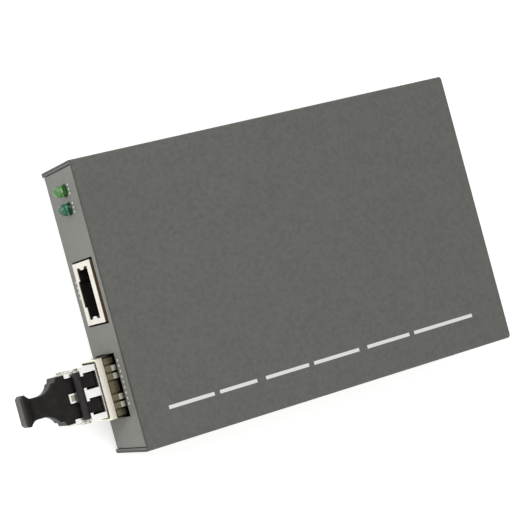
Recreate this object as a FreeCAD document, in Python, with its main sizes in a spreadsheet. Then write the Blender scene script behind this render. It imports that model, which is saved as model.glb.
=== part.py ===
"""Fibre media converter with an optical module and its dust plug in place, in millimetres.

Frame: X to the right as the front panel is faced, Y to the rear, Z up.  The origin is the
middle of the case's underside, and the front panel faces -Y.
"""
import FreeCAD, Part
import os
import re

import Sketcher
from FreeCAD import Rotation, Vector

doc = FreeCAD.newDocument("MediaConverter")
sheet = doc.addObject("Spreadsheet::Sheet", "Sizes")

SIZES = (
    # case: a folded cover over a folded tray
    ("case_width", 72.5), ("case_depth", 108.0), ("case_height", 22.5),
    ("sheet_thick", 1.0), ("bend_outer", 1.2), ("bend_inner", 0.15),
    ("cover_gap", 0.15), ("cover_lift", 0.3), ("panel_set_back", 0.25),
    ("flange_height", 8.5), ("flange_end_gap", 3.0),
    ("vent_width", 1.6), ("vent_height", 7.0), ("vent_pitch", 5.0), ("vent_count", 8),
    ("vent_z", 15.0),
    ("keyhole_spacing", 60.0), ("keyhole_head", 7.0), ("keyhole_neck", 3.6),
    ("keyhole_reach", 6.0),
    # screws: countersunk for the cover, pan head for the board
    ("cover_screw_y", 32.0), ("cover_screw_z", 6.5), ("cover_bore", 2.1),
    ("cover_head", 4.7), ("cover_shank", 2.5), ("cover_screw_length", 3.5),
    ("recess_width", 0.7), ("recess_span", 2.4), ("recess_depth", 0.8),
    ("screw_clear", 0.02),
    ("board_bore", 2.5), ("board_hole", 3.2), ("board_head", 5.6), ("board_head_high", 1.8),
    ("board_screw_length", 5.0),
    # circuit board and its standoffs
    ("board_thick", 1.6), ("standoff_height", 2.0), ("standoff_width", 5.5),
    ("stud_width", 4.2), ("board_side_gap", 0.6), ("board_end_gap", 0.35),
    ("mount_x", 29.8), ("mount_front_inset", 15.0), ("mount_rear_inset", 8.0),
    # copper network socket
    ("socket_x", -4.28), ("shield_width", 15.7), ("shield_height", 12.5),
    ("shield_depth", 16.0), ("shield_thick", 0.3), ("mouth_width", 13.1),
    ("mouth_low", 2.5), ("mouth_high", 9.8), ("ear_depth", 0.65), ("spring_low", 4.4),
    ("spring_high", 7.9), ("spring_slope", 0.9), ("notch_width", 6.6), ("notch_low", 1.3),
    ("cavity_depth", 13.0), ("plug_width", 11.9), ("socket_side_gap", 0.45),
    ("socket_top_gap", 1.6), ("socket_bottom_gap", 0.25),
    ("contact_count", 8), ("contact_pitch", 1.02), ("contact_width", 0.4),
    ("contact_thick", 0.3), ("contact_roof", 10.3), ("contact_tip", 7.4),
    ("contact_front", 2.3), ("contact_reach", 8.6),
    # indicator lamps
    ("lamp_x", -29.9), ("lamp_pitch", 4.6), ("lamp_up", 8.4), ("lens_width", 3.0),
    ("lens_reach", 2.9), ("lens_hole_gap", 0.15), ("collar_width", 3.8),
    ("lamp_collar_thick", 1.0), ("lead_width", 0.5), ("lead_gap", 1.27),
    ("holder_depth", 4.6), ("holder_side", 2.6), ("holder_over", 2.4),
    # optical module cage and the spring collar round its mouth
    ("module_x", 19.35), ("cage_width", 14.5), ("cage_height", 9.8), ("cage_thick", 0.25),
    ("cage_length", 48.7), ("cage_overhang", 4.3), ("collar_thick", 0.35),
    ("collar_band", 1.9), ("finger_reach", 4.4), ("finger_rise", 0.95),
    ("finger_low_rise", 0.3), ("finger_thick", 0.22), ("finger_width", 1.4),
    ("finger_overlap", 0.2), ("finger_pitch", 1.95), ("finger_offset", 2.6),
    ("end_finger_x", 6.45), ("middle_finger_width", 2.8), ("side_finger_pitch", 3.3),
    ("side_finger_width", 1.6),
    ("cage_side_gap", 0.75), ("cage_top_gap", 1.75), ("cage_bottom_gap", 1.5),
    ("latch_hole_y", 4.8), ("latch_hole_width", 3.2), ("latch_hole_length", 3.4),
    # optical module housing
    ("nose_width", 13.5), ("nose_reach", 12.4), ("nose_low", 0.2), ("nose_high", 9.6),
    ("nose_seam", 0.35),
    ("step_high", 8.3), ("step_back", 8.75), ("nose_front_width", 12.4),
    ("nose_front_back", 8.2), ("body_width", 12.8), ("body_low", 0.5), ("body_wall", 0.55),
    ("block_back", 0.5), ("block_high", 8.7), ("body_high", 4.6), ("body_rear", 34.5),
    ("port_pitch", 6.25), ("port_width", 4.6), ("port_low", 1.9), ("port_high", 6.5),
    ("keyway_width", 3.9), ("port_depth", 11.4), ("latch_slot_width", 4.15),
    ("latch_slot_back", 4.8), ("latch_slot_front", 8.0), ("latch_neck_width", 2.95),
    ("rocker_slot_width", 5.2), ("rocker_slot_high", 1.45),
    ("shell_width", 13.4), ("shell_thick", 0.3), ("shell_low", 0.8), ("shell_high", 9.0),
    ("barrel_width", 2.9), ("barrel_front", 4.4), ("can_width", 5.3), ("can_length", 6.5),
    ("can_pin_length", 3.0),
    ("module_board_thick", 1.0), ("tongue_width", 9.4), ("tongue_rear", 41.5),
    ("board_wing_rear", 33.0), ("board_wing_front", 9.0), ("connector_width", 11.0),
    ("connector_front", 35.0), ("connector_rear", 43.9), ("connector_high", 7.6),
    ("running_gap", 0.05),
    # release bail and latch
    ("hinge_y", -11.3), ("hinge_z", 1.4), ("hinge_pin", 0.9), ("crossbar_y", -9.75),
    ("crossbar_z", 9.3), ("crossbar_width", 0.9), ("sleeve_width", 1.9),
    ("sleeve_half", 5.85), ("sleeve_edge", 0.25), ("leg_inside", 6.3), ("leg_thick", 0.5),
    ("leg_width", 1.5),
    ("rocker_width", 4.6), ("rocker_low", 0.6), ("rocker_high", 1.1),
    ("rocker_front", -10.6), ("rocker_rear", 6.2), ("rocker_pivot_y", -3.5),
    ("rocker_pivot_z", 0.85), ("rocker_pin", 0.6), ("rocker_pin_half", 3.2),
    ("boss_front", 3.6), ("boss_rear", 6.0), ("boss_low", -0.15), ("boss_width", 2.4),
    # dust plug
    ("prong_width", 4.2), ("prong_low", 2.1), ("prong_high", 6.3), ("prong_depth", 7.8),
    ("rib_width", 3.5), ("rib_high", 8.0), ("plug_face_gap", 0.1),
    ("plug_body_width", 12.0), ("plug_body_low", 0.8), ("shoulder_length", 2.0),
    ("waist_width", 9.8), ("waist_step", 0.5), ("waist_length", 0.7),
    ("hollow_length", 3.4), ("neck_width", 5.3), ("neck_thick", 3.4), ("neck_length", 1.6),
    ("flare_length", 1.8), ("grip_width", 7.8), ("grip_thick", 4.6), ("grip_corner", 0.6),
    ("grip_length", 1.5), ("plug_edge", 0.3),
    # power inlet at the rear
    ("inlet_x", -20.0), ("inlet_width", 9.0), ("inlet_height", 11.0), ("inlet_depth", 14.0),
    ("inlet_axis_up", 6.5), ("inlet_bore", 6.4), ("inlet_bore_depth", 9.5),
    ("inlet_pin", 2.0), ("inlet_pin_length", 8.7), ("inlet_gap", 0.2),
    ("spring_thick", 0.3), ("spring_width", 2.2),
    # parts on the board
    ("chip_x", -2.0), ("chip_gap", 9.25), ("chip_size", 14.0), ("chip_high", 1.6),
    ("chip_leads", 8), ("chip_lead_pitch", 1.4), ("chip_lead_width", 0.35),
    ("sink_size", 14.0), ("sink_base", 1.5), ("sink_high", 6.5), ("sink_fins", 6),
    ("sink_fin_thick", 1.0),
    ("magnetics_gap", 8.25), ("magnetics_width", 16.0), ("magnetics_length", 9.5),
    ("magnetics_high", 5.4), ("magnetics_leads", 8), ("magnetics_lead_pitch", 1.8),
    ("crystal_x", -20.0), ("crystal_y", -8.0), ("crystal_length", 10.8),
    ("crystal_width", 4.6), ("crystal_high", 3.6),
    ("capacitor_x", -26.0), ("capacitor_gap", 4.0), ("capacitor_pitch", 10.0),
    ("capacitor_count", 2), ("capacitor_width", 8.0), ("capacitor_high", 11.5),
    ("coil_x", -8.0), ("coil_y", 28.0), ("coil_size", 10.0), ("coil_high", 5.0),
    ("coil_margin", 1.0),
    ("regulator_x", 8.0), ("regulator_y", 28.0), ("regulator_width", 6.5),
    ("regulator_length", 6.1), ("regulator_high", 2.3), ("tab_thick", 0.5),
    ("tab_length", 2.6), ("lead_thick", 0.25), ("lead_foot", 1.0),
)

# places worked out from the sizes; each is an expression of sizes and of other places
PLACES = {
    "front_y": "-case_depth/2",
    "rear_y": "case_depth/2",
    "panel_y": "front_y + panel_set_back",
    "panel_inner_y": "panel_y + sheet_thick",
    "tray_half": "case_width/2 - sheet_thick - cover_gap",
    "tray_top": "case_height - sheet_thick",
    "board_bottom": "sheet_thick + standoff_height",
    "board_top": "board_bottom + board_thick",
    "board_half": "tray_half - sheet_thick - board_side_gap",
    "board_front": "panel_inner_y + board_end_gap",
    "board_rear": "-board_front",
    "mount_front_y": "front_y + mount_front_inset",
    "mount_rear_y": "rear_y - mount_rear_inset",
    "lamp_z": "board_top + lamp_up",
    "panel_back": "panel_set_back + sheet_thick",
    "cage_rear": "cage_length - cage_overhang",
    "finger_base": "cage_overhang - collar_band",
    "plug_front": "nose_reach + plug_face_gap",
    "shoulder_end": "nose_reach + shoulder_length",
    "waist_start": "shoulder_end + waist_step",
    "waist_end": "waist_start + waist_length",
    "neck_start": "waist_end + hollow_length",
    "neck_end": "neck_start + neck_length",
    "grip_start": "neck_end + flare_length",
    "grip_end": "grip_start + grip_length",
    "plug_axis_z": "(plug_body_low + rib_high)/2",
    "barrel_z": "(port_low + port_high)/2",
    "wall_back": "nose_reach - port_depth",
    "tongue_low": "body_high",
    "magnetics_y": "front_y + shield_depth + magnetics_gap + magnetics_length/2",
    "chip_y": "magnetics_y + magnetics_length/2 + chip_gap + chip_size/2",
    "capacitor_y": "rear_y - inlet_depth - capacitor_gap - capacitor_width/2"
                   " - (capacitor_count - 1)*capacitor_pitch",
}

pieces = []


# ---------------------------------------------------------------- sheet and expressions
def fill_sheet():
    """Write each size into the sheet under its own name."""
    for row, (name, size) in enumerate(SIZES, start=1):
        sheet.set("A%d" % row, name)
        sheet.set("B%d" % row, str(size))
        sheet.setAlias("B%d" % row, name)
    doc.recompute()


SIZE_NAMES = frozenset(name for name, size in SIZES)


def cells(text):
    """The expression with every size and place replaced by its sheet cell."""
    def swap(match):
        word = match.group(0)
        if word in PLACES:
            return "(" + cells(PLACES[word]) + ")"
        return "Sizes." + word if word in SIZE_NAMES else word
    return re.sub(r"[A-Za-z_]\w*", swap, str(text))


def number(text):
    """The value of an expression of sizes and places."""
    value = sheet.evalExpression(cells(text))
    return float(getattr(value, "Value", value))


def bind(thing, **expressions):
    """Tie properties to expressions; a double underscore stands for a dot."""
    for name, text in expressions.items():
        thing.setExpression(name.replace("__", "."), cells(text))


def place(thing, x="0", y="0", z="0"):
    bind(thing, Placement__Base__x=x, Placement__Base__y=y, Placement__Base__z=z)


def piece(thing, label):
    """Mark an object as one of the product's pieces, under the name it is filed by."""
    thing.Label = label
    pieces.append(thing)
    return thing


# ---------------------------------------------------------------- drawing and solids
def span(*stations):
    """Stations in rising order."""
    return sorted(stations, key=number)


def box_corners(x0, x1, y0, y1):
    """Corners of an upright rectangle between two columns and two rows."""
    return ((x0, y0), (x1, y0), (x1, y1), (x0, y1))


def draw_outline(sketch, corners):
    """Closed outline of straight and round runs.

    A corner is a pair of expressions.  A third entry, the radius of a round run to the next
    corner, is positive where the run bulges to the right of the way there.
    """
    first = sketch.GeometryCount
    count = len(corners)
    points = [Vector(number(corner[0]), number(corner[1]), 0) for corner in corners]
    for index, corner in enumerate(corners):
        start, end = points[index], points[(index + 1) % count]
        if len(corner) == 2:
            sketch.addGeometry(Part.LineSegment(start, end), False)
            continue
        chord = end - start
        radius = number(corner[2])
        sagitta = abs(radius) - max(radius ** 2 - (chord.Length / 2) ** 2, 0) ** 0.5
        aside = Vector(chord.y, -chord.x, 0).normalize() * (sagitta if radius > 0 else -sagitta)
        sketch.addGeometry(Part.Arc(start, (start + end) / 2 + aside, end), False)
    ends = []
    for index, corner in enumerate(corners):
        flipped = len(corner) == 3 and number(corner[2]) < 0
        ends.append((2, 1) if flipped else (1, 2))
    for index in range(count):
        after = (index + 1) % count
        sketch.addConstraint(Sketcher.Constraint(
            "Coincident", first + index, ends[index][1], first + after, ends[after][0]))
    for index, corner in enumerate(corners):
        for kind, text in (("DistanceX", corner[0]), ("DistanceY", corner[1])):
            hold(sketch, Sketcher.Constraint(
                kind, first + index, ends[index][0], number(text)), text)
        if len(corner) == 3:
            hold_round_run(sketch, first + index, corner, corners[(index + 1) % count])


def hold_round_run(sketch, index, corner, after):
    """Fix a round run by its radius or, for a half circle, by its centre."""
    size = "abs(%s)" % corner[2]
    run = sketch.Geometry[index]
    chord = run.StartPoint - run.EndPoint
    if abs(number(size) - chord.Length / 2) > 1e-6:
        hold(sketch, Sketcher.Constraint("Radius", index, number(size)), size)
        return
    kind, row = ("DistanceY", 1) if abs(chord.x) > abs(chord.y) else ("DistanceX", 0)
    middle = "((%s) + (%s))/2" % (corner[row], after[row])
    hold(sketch, Sketcher.Constraint(kind, index, 3, number(middle)), middle)


def draw_circle(sketch, x, y, width):
    """Circle of a given width round a point."""
    index = sketch.addGeometry(
        Part.Circle(Vector(number(x), number(y), 0), Vector(0, 0, 1), number(width) / 2), False)
    hold(sketch, Sketcher.Constraint("DistanceX", index, 3, number(x)), x)
    hold(sketch, Sketcher.Constraint("DistanceY", index, 3, number(y)), y)
    hold(sketch, Sketcher.Constraint("Diameter", index, number(width)), width)


def hold(sketch, constraint, text):
    """Add a measured constraint and tie it to its expression."""
    index = sketch.addConstraint(constraint)
    sketch.setExpression("Constraints[%d]" % index, cells(text))


class Solid:
    """One piece as a PartDesign body, drawn in its own frame and set in place.

    Pads and pockets run between two stations along an axis: "x" is drawn on (Y, Z), "y" on
    (X, Z) and "z" on (X, Y).
    """

    ROLES = {"x": "YZ_Plane", "y": "XZ_Plane", "z": "XY_Plane"}

    def __init__(self, label, x="0", y="0", z="0"):
        self.body = piece(doc.addObject("PartDesign::Body", label), label)
        self.planes = {axis: next(item for item in self.body.Origin.OriginFeatures
                                  if item.Role == role) for axis, role in self.ROLES.items()}
        self.turning = {item.Role[0].lower(): item for item in self.body.Origin.OriginFeatures
                        if item.Role.endswith("_Axis")}
        place(self.body, x, y, z)

    def sketch(self, axis, station, outlines=(), circles=()):
        drawing = self.body.newObject("Sketcher::SketchObject", "Outline")
        drawing.AttachmentSupport = [(self.planes[axis], "")]
        drawing.MapMode = "FlatFace"
        bind(drawing, AttachmentOffset__Base__z=("-(%s)" if axis == "y" else "%s") % station)
        for outline in outlines:
            draw_outline(drawing, outline)
        for circle in circles:
            draw_circle(drawing, *circle)
        return drawing

    def run(self, kind, axis, start, end, outlines, circles):
        feature = self.body.newObject("PartDesign::" + kind, kind)
        middle = "((%s) + (%s))/2" % (start, end)
        feature.Profile = self.sketch(axis, middle, outlines, circles)
        feature.Midplane = True
        bind(feature, Length="(%s) - (%s)" % (end, start))
        return feature

    def add(self, axis, start, end, *outlines, circles=()):
        feature = self.run("Pad", axis, start, end, outlines, circles)
        doc.recompute()
        return feature

    def cut(self, axis, start, end, *outlines, circles=()):
        """Pocket between two stations, refused if it takes nothing away."""
        before = self.body.Shape.Volume
        feature = self.run("Pocket", axis, start, end, outlines, circles)
        doc.recompute()
        if not self.body.Shape.Volume < before:
            raise RuntimeError("a pocket in %s cuts nothing" % self.body.Label)
        return feature

    def turn(self, axis, outline, about="H_Axis", kind="Revolution"):
        """Turn an outline a full circle about its sketch's own axis."""
        feature = self.body.newObject("PartDesign::" + kind, kind)
        profile = self.sketch(axis, "0", (outline,))
        feature.Profile = profile
        feature.ReferenceAxis = (profile, [about])
        feature.Angle = 360.0
        doc.recompute()
        return feature

    def repeat(self, feature, axis, length, count):
        """Evenly spaced copies of a feature along an axis."""
        pattern = self.body.newObject("PartDesign::LinearPattern", "Row")
        pattern.Originals = [feature]
        pattern.Direction = (self.turning[axis], [""])
        bind(pattern, Length=length, Occurrences=count)
        self.body.Tip = pattern
        doc.recompute()
        return pattern

    def edges(self, test):
        """Names of the straight or round edges that pass a test on their ends' midpoint."""
        shape = self.body.Tip.Shape
        return ["Edge%d" % (index + 1) for index, edge in enumerate(shape.Edges)
                if test(edge, edge.CenterOfMass)]

    def soften(self, radius, test, kind="Fillet"):
        """Round or chamfer the chosen edges of the body as it stands."""
        names = self.edges(test)
        if not names:
            raise RuntimeError("no edge to soften in %s" % self.body.Label)
        last = self.body.Tip
        feature = self.body.newObject("PartDesign::" + kind, kind)
        feature.Base = (last, names)
        bind(feature, **{"Radius" if kind == "Fillet" else "Size": radius})
        doc.recompute()
        if not feature.isValid():
            raise RuntimeError("an edge of %s can't be softened" % self.body.Label)
        return feature


def group(label, members):
    """Several like pieces that are filed under one name."""
    for member in members:
        pieces.remove(member)
    bundle = piece(doc.addObject("Part::Compound", label), label)
    bundle.Links = members
    return bundle


def along(edge, axis):
    """True for a straight edge that runs along an axis."""
    size = edge.BoundBox
    spans = {"x": size.XLength, "y": size.YLength, "z": size.ZLength}
    others = [span for name, span in spans.items() if name != axis]
    return spans[axis] > 1e-3 and max(others) < 1e-6


# ---------------------------------------------------------------- case
def top_cover():
    """Folded cover: a top and two sides, with vents and countersunk holes in the sides."""
    half, top, wall = "case_width/2", "case_height", "sheet_thick"
    inner = "%s - %s" % (half, wall)
    cover = Solid("top_cover")
    cover.add("y", "front_y", "rear_y", (
        ("-(%s)" % half, "cover_lift"), ("-(%s)" % inner, "cover_lift"),
        ("-(%s)" % inner, "%s - %s" % (top, wall)), (inner, "%s - %s" % (top, wall)),
        (inner, "cover_lift"), (half, "cover_lift"), (half, top), ("-(%s)" % half, top)))
    cover.soften("bend_outer", lambda edge, at: along(edge, "y")
                 and at.z > number(top) - 0.01)
    cover.soften("bend_inner", lambda edge, at: along(edge, "y")
                 and abs(at.z - number("case_height - sheet_thick")) < 0.01)
    first = "-(vent_count - 1)*vent_pitch/2 - vent_width/2"
    vent = cover.cut("x", "-(%s) - 1" % half, "%s + 1" % half, box_corners(
        first, "%s + vent_width" % first, "vent_z - vent_height/2", "vent_z + vent_height/2"))
    cover.repeat(vent, "y", "(vent_count - 1)*vent_pitch", "vent_count")
    for side in ("-1", "1"):
        cut_countersink(cover, "%s*cover_screw_y" % side)


def cut_countersink(cover, y):
    """Cone through both side walls for a countersunk head, wide at the outer faces."""
    wide = "cover_head/2 + screw_clear"
    narrow = "%s - sheet_thick" % wide
    for side in ("-1", "1"):
        cone = cover.body.newObject("PartDesign::SubtractiveCone", "Countersink")
        bind(cone, Radius1=wide, Radius2=narrow, Height="sheet_thick")
        cone.AttachmentSupport = [(cover.planes["x"], "")]
        cone.MapMode = "FlatFace"
        bind(cone, AttachmentOffset__Base__x=y, AttachmentOffset__Base__y="cover_screw_z",
             AttachmentOffset__Base__z="%s*case_width/2" % side)
        if side == "1":
            cone.AttachmentOffset = FreeCAD.Placement(
                Vector(), Rotation(Vector(1, 0, 0), 180))
            bind(cone, AttachmentOffset__Base__x=y,
                 AttachmentOffset__Base__y="cover_screw_z",
                 AttachmentOffset__Base__z="case_width/2")
        doc.recompute()


def base_tray():
    """Folded tray: floor, front and rear panels, and a tapped flange along each side."""
    tray = Solid("base_tray")
    front, inner, top = "panel_y", "panel_inner_y", "tray_top"
    tray.add("x", "-(tray_half)", "tray_half", (
        (front, "0"), ("-panel_y", "0"), ("-panel_y", top), ("-panel_inner_y", top),
        ("-panel_inner_y", "sheet_thick"), (inner, "sheet_thick"), (inner, top), (front, top)))
    tray.soften("bend_outer", lambda edge, at: along(edge, "x") and at.z < 0.01)
    tray.soften("bend_inner", lambda edge, at: along(edge, "x")
                and abs(at.z - number("sheet_thick")) < 0.01)
    flange_in = "tray_half - sheet_thick"
    reach = "-panel_y - flange_end_gap"
    tray.add("y", "-(%s)" % reach, reach, (
        ("-(tray_half)", "0"), ("tray_half", "0"), ("tray_half", "flange_height"),
        (flange_in, "flange_height"), (flange_in, "sheet_thick"),
        ("-(%s)" % flange_in, "sheet_thick"), ("-(%s)" % flange_in, "flange_height"),
        ("-(tray_half)", "flange_height")))
    tray.cut("x", "-(tray_half) - 1", "tray_half + 1", circles=(
        ("-cover_screw_y", "cover_screw_z", "cover_bore"),
        ("cover_screw_y", "cover_screw_z", "cover_bore")))
    cut_front_panel(tray)
    axis_z = "board_top + inlet_axis_up"
    tray.cut("y", "-panel_inner_y - 1", "rear_y + 1", box_corners(
        "inlet_x - inlet_width/2 - inlet_gap", "inlet_x + inlet_width/2 + inlet_gap",
        "board_top - inlet_gap", "board_top + inlet_height + inlet_gap"))
    cut_floor(tray)


def cut_front_panel(tray):
    """Holes for the lamps, the copper socket and the module cage."""
    lamp_hole = "lens_width + 2*lens_hole_gap"
    socket_half = "shield_width/2 + socket_side_gap"
    cage_half = "cage_width/2 + cage_side_gap"
    tray.cut("y", "front_y - 1", "panel_inner_y + 1", box_corners(
        "socket_x - (%s)" % socket_half, "socket_x + %s" % socket_half,
        "board_top - socket_bottom_gap", "board_top + shield_height + socket_top_gap"),
        box_corners(
            "module_x - (%s)" % cage_half, "module_x + %s" % cage_half,
            "board_top - cage_bottom_gap", "board_top + cage_height + cage_top_gap"),
        circles=(("lamp_x", "lamp_z", lamp_hole),
                 ("lamp_x + lamp_pitch", "lamp_z", lamp_hole)))


def cut_floor(tray):
    """Stud holes for the standoffs, and two keyholes for hanging the case on a wall."""
    studs = [("%smount_x" % side, row, "stud_width")
             for side in ("-", "") for row in ("mount_front_y", "mount_rear_y")]
    tray.cut("z", "-1", "sheet_thick + 1", circles=studs)
    for side in ("-1", "1"):
        centre = "%s*keyhole_spacing/2" % side
        tray.cut("z", "-1", "sheet_thick + 1", circles=(("0", centre, "keyhole_head"),))
        tray.cut("z", "-1", "sheet_thick + 1", (
            ("keyhole_neck/2", centre),
            ("keyhole_neck/2", "%s + keyhole_reach" % centre, "keyhole_neck/2"),
            ("-keyhole_neck/2", "%s + keyhole_reach" % centre),
            ("-keyhole_neck/2", centre)))


def cover_screws():
    """Countersunk screws through the cover's sides into the tray's flanges."""
    screws = []
    for side, name in (("-1", "left"), ("1", "right")):
        for end, where in (("-1", "front"), ("1", "rear")):
            screw = Solid("cover_screw_%s_%s" % (name, where), "%s*case_width/2" % side,
                          "%s*cover_screw_y" % end, "cover_screw_z")
            neck = "-(%s)*(cover_head - cover_shank)/2" % side
            tip = "-(%s)*cover_screw_length" % side
            shank = "cover_bore/2 - screw_clear"
            screw.turn("z", (("0", "0"), ("0", "cover_head/2"), (neck, "cover_shank/2"),
                             (neck, shank), (tip, shank), (tip, "0")))
            cut_cross(screw, *span("0", "-(%s)*recess_depth" % side))
            screws.append(screw.body)
    group("cover_screws", screws)


def cut_cross(screw, start, end):
    """Cross recess in a screw's head."""
    wide, arm = "recess_width/2", "recess_span/2"
    screw.cut("x", start, end, box_corners("-" + wide, wide, "-" + arm, arm))
    screw.cut("x", start, end, box_corners("-" + arm, arm, "-" + wide, wide))


def mount_spots():
    """The board's four fixings, as a name and a place each."""
    for side, name in (("-", "left"), ("", "right")):
        for row, where in (("mount_front_y", "front"), ("mount_rear_y", "rear")):
            yield "%s_%s" % (name, where), side + "mount_x", row


def board_standoffs():
    """Pressed-in standoffs, each with a stud in the floor and a tapped bore."""
    posts = []
    for name, x, y in mount_spots():
        post = Solid("standoff_" + name, x, y, "0")
        stud = "stud_width/2 - screw_clear"
        post.turn("y", (
            ("board_bore/2", "0"), (stud, "0"), (stud, "sheet_thick"),
            ("standoff_width/2", "sheet_thick"), ("standoff_width/2", "board_bottom"),
            ("board_bore/2", "board_bottom")), "V_Axis")
        posts.append(post.body)
    group("board_standoffs", posts)


def board_screws():
    """Pan-head screws that hold the board on its standoffs."""
    screws = []
    for name, x, y in mount_spots():
        screw = Solid("board_screw_" + name, x, y, "board_top")
        shank = "board_bore/2 - screw_clear"
        screw.turn("y", (
            ("0", "-board_screw_length"), (shank, "-board_screw_length"), (shank, "0"),
            ("board_head/2", "0"), ("board_head/2", "board_head_high/2"),
            ("board_head/2 - board_head_high/2", "board_head_high"),
            ("0", "board_head_high")), "V_Axis")
        screws.append(screw.body)
    group("board_screws", screws)


def circuit_board():
    """Bare board with its fixing holes and reliefs for the cage's collar and the latch."""
    board = Solid("circuit_board")
    board.add("z", "board_bottom", "board_top", box_corners(
        "-(board_half)", "board_half", "board_front", "board_rear"))
    board.cut("z", "board_bottom - 1", "board_top + 1", circles=[
        (x, y, "board_hole") for name, x, y in mount_spots()])
    relief = "latch_hole_width/2 + cage_side_gap"
    board.cut("z", "board_bottom - 1", "board_top + 1", box_corners(
        "module_x - (%s)" % relief, "module_x + %s" % relief, "board_front - 1",
        "front_y + latch_hole_y + latch_hole_length"))
    relief = "cage_width/2 + cage_side_gap"
    board.cut("z", "board_bottom - 1", "board_top + 1", box_corners(
        "module_x - (%s)" % relief, "module_x + %s" % relief, "board_front - 1",
        "front_y - finger_base + finger_reach + cage_side_gap"))


# ---------------------------------------------------------------- copper network socket
def socket_solid(label):
    return Solid(label, "socket_x", "front_y", "board_top")


def copper_socket_shield():
    """Folded can round the socket, its mouth shaped by side springs and a latch notch."""
    shield = socket_solid("copper_socket_shield")
    half, wall = "shield_width/2", "shield_thick"
    shield.add("y", "0", "shield_depth",
               box_corners("-" + half, half, "0", "shield_height"))
    shield.cut("y", wall, "shield_depth - shield_thick", box_corners(
        "-%s + %s" % (half, wall), "%s - %s" % (half, wall), "-1",
        "shield_height - shield_thick"))
    edge, tip = "mouth_width/2", "mouth_width/2 - ear_depth"
    right = [(edge, "mouth_low"), (edge, "spring_low"), (tip, "spring_low + spring_slope"),
             (tip, "spring_high - spring_slope"), (edge, "spring_high"), (edge, "mouth_high")]
    left = [("-(%s)" % x, z) for x, z in reversed(right)]
    notch = [("-notch_width/2", "mouth_low"), ("-notch_width/2", "notch_low"),
             ("notch_width/2", "notch_low"), ("notch_width/2", "mouth_low")]
    shield.cut("y", "-1", wall + " + 0.2", right + left + notch)


def copper_socket_insert():
    """Moulded insert with the plug's cavity, its latch channel and a roof over the contacts."""
    insert = socket_solid("copper_socket_insert")
    half = "shield_width/2 - shield_thick"
    insert.add("y", "shield_thick", "shield_depth - shield_thick",
               box_corners("-(%s)" % half, half, "0", "shield_height - shield_thick"))
    back = "shield_thick + cavity_depth"
    insert.cut("y", "-1", back, (
        ("-notch_width/2", "notch_low"), ("notch_width/2", "notch_low"),
        ("notch_width/2", "mouth_low"), ("plug_width/2", "mouth_low"),
        ("plug_width/2", "mouth_high"), ("-plug_width/2", "mouth_high"),
        ("-plug_width/2", "mouth_low"), ("-notch_width/2", "mouth_low")))
    row = "contact_count*contact_pitch/2"
    insert.cut("y", "contact_front - contact_thick", back, box_corners(
        "-(%s)" % row, row, "mouth_high - 0.5", "contact_roof"))


def copper_socket_contacts():
    """Sprung contacts: each runs forward under the roof, then folds back down to its tip."""
    contacts = []
    thick = "contact_thick"
    for index in range(int(number("contact_count"))):
        middle = "(%d - (contact_count - 1)/2)*contact_pitch" % index
        contact = socket_solid("socket_contact_%d" % (index + 1))
        contact.add("x", middle + " - contact_width/2", middle + " + contact_width/2", (
            ("cavity_depth + shield_thick", "contact_roof"),
            ("contact_front", "contact_roof"),
            ("contact_front", "contact_roof - 2*contact_thick"),
            ("contact_front + contact_reach", "contact_tip"),
            ("contact_front + contact_reach", "contact_tip + %s" % thick),
            ("contact_front + 3*contact_thick", "contact_roof - contact_thick"),
            ("cavity_depth + shield_thick", "contact_roof - contact_thick")))
        contacts.append(contact.body)
    group("copper_socket_contacts", contacts)


# ---------------------------------------------------------------- indicator lamps
def lamp_solid(label, index):
    return Solid(label, "lamp_x + %d*lamp_pitch" % index, "front_y", "lamp_z")


def lamp_lens(label, index):
    """Domed lens with a collar that seats behind the front panel."""
    lens = lamp_solid(label, index)
    radius = "lens_width/2"
    lens.turn("z", (
        ("0", "-lens_reach", radius), (radius, "-lens_reach + %s" % radius),
        (radius, "panel_back"), ("collar_width/2", "panel_back"),
        ("collar_width/2", "panel_back + lamp_collar_thick"),
        ("0", "panel_back + lamp_collar_thick")), "V_Axis")


def lamp_leads():
    """Two bent leads from each lamp, through the holder and down to the board."""
    leads = []
    start, back = "panel_back + lamp_collar_thick", "panel_back + holder_depth + 2.2"
    for index in (0, 1):
        for side in ("-1", "1"):
            lead = lamp_solid("lamp_lead_%d" % len(leads), index)
            middle = "%s*lead_gap/2" % side
            half = "lead_width/2"
            lead.add("x", "%s - %s" % (middle, half), "%s + %s" % (middle, half), (
                (start, "-" + half), ("%s - lead_width" % back, "-" + half),
                ("%s - lead_width" % back, "-lamp_up"), (back, "-lamp_up"), (back, half),
                (start, half)))
            leads.append(lead.body)
    group("lamp_leads", leads)


def lamp_holder():
    """Moulded block that carries both lamps at the height of their holes."""
    holder = lamp_solid("lamp_holder", 0)
    start = "panel_back + lamp_collar_thick"
    holder.add("y", start, "%s + holder_depth" % start, box_corners(
        "-holder_side", "lamp_pitch + holder_side", "-lamp_up", "holder_over"))
    half, wide = "lead_width/2 + running_gap", "lead_gap/2 + lead_width/2 + running_gap"
    for index in (0, 1):
        middle = "%d*lamp_pitch" % index
        holder.cut("y", "%s - 1" % start, "%s + holder_depth + 1" % start, box_corners(
            "%s - (%s)" % (middle, wide), "%s + %s" % (middle, wide), "-(%s)" % half, half))
    holder.soften("2*running_gap", lambda edge, at: along(edge, "y")
                  and at.z > number("holder_over") - 0.01, "Chamfer")


# ---------------------------------------------------------------- optical module cage
def module_solid(label):
    return Solid(label, "module_x", "front_y", "board_top")


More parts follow.
